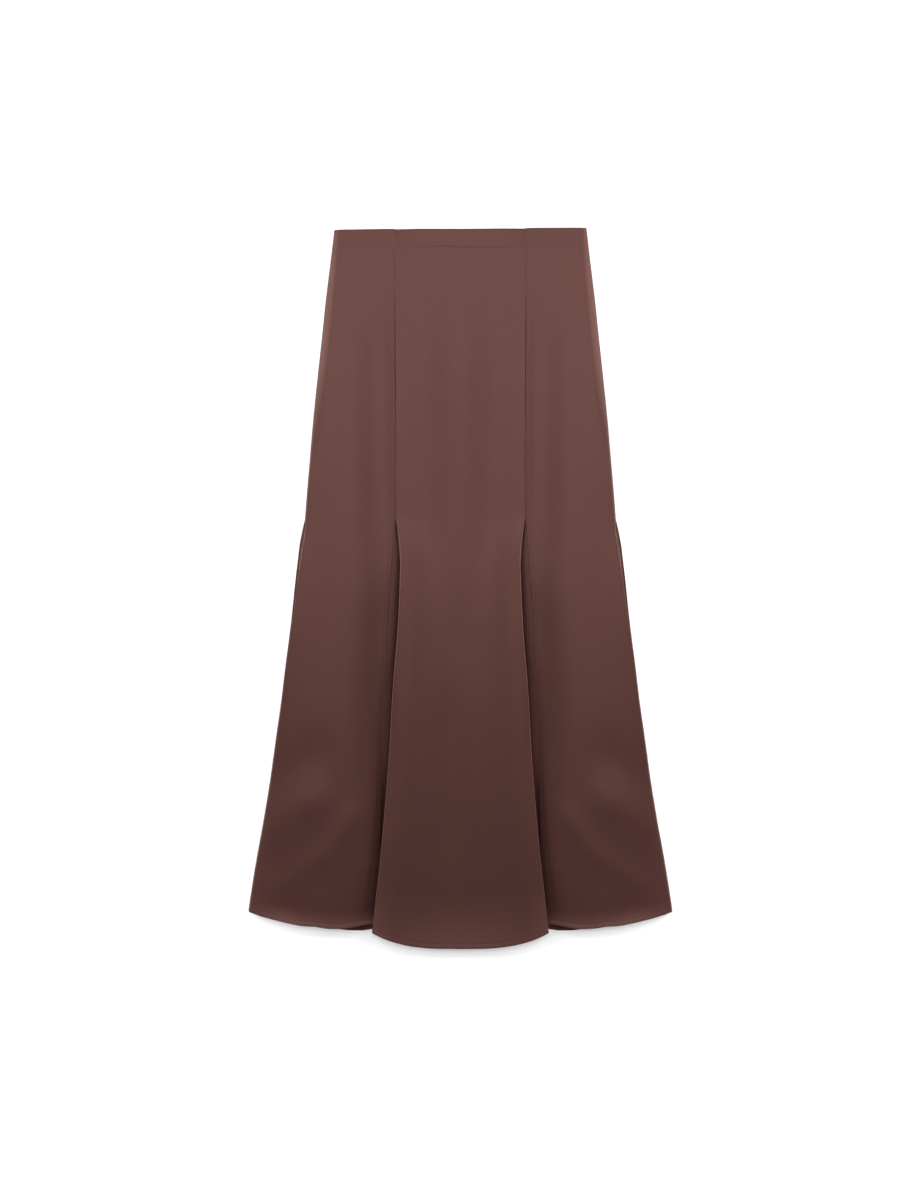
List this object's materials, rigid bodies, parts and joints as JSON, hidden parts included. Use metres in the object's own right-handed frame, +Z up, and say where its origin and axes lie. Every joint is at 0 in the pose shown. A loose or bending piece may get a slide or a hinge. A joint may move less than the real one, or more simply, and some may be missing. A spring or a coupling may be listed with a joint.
{
  "type": "mermaid fishtail skirt",
  "caption": "Long satin mermaid skirt laid flat, front up: gored panels, with flared godets folded inside at the seams below the thigh.",
  "frame": {"origin": "on the surface it lies on, under the middle of the skirt", "axes": "+X to the right of the front as seen from above, +Y from the hem towards the waist, +Z up out of the front"},
  "size_m": [0.5296, 0.9, 0.0067],
  "materials": {
    "satin": "brown satin"
  },
  "bodies": {
    "root": {"front_centre_panel": "satin", "front_side_panel_left": "satin", "front_side_panel_right": "satin", "godet_front_left": "satin", "godet_front_right": "satin", "godet_side_left": "satin", "godet_side_right": "satin", "godet_back_left": "satin", "godet_back_right": "satin", "back_centre_panel": "satin", "back_side_panel_left": "satin", "back_side_panel_right": "satin"}
  },
  "joints": []
}
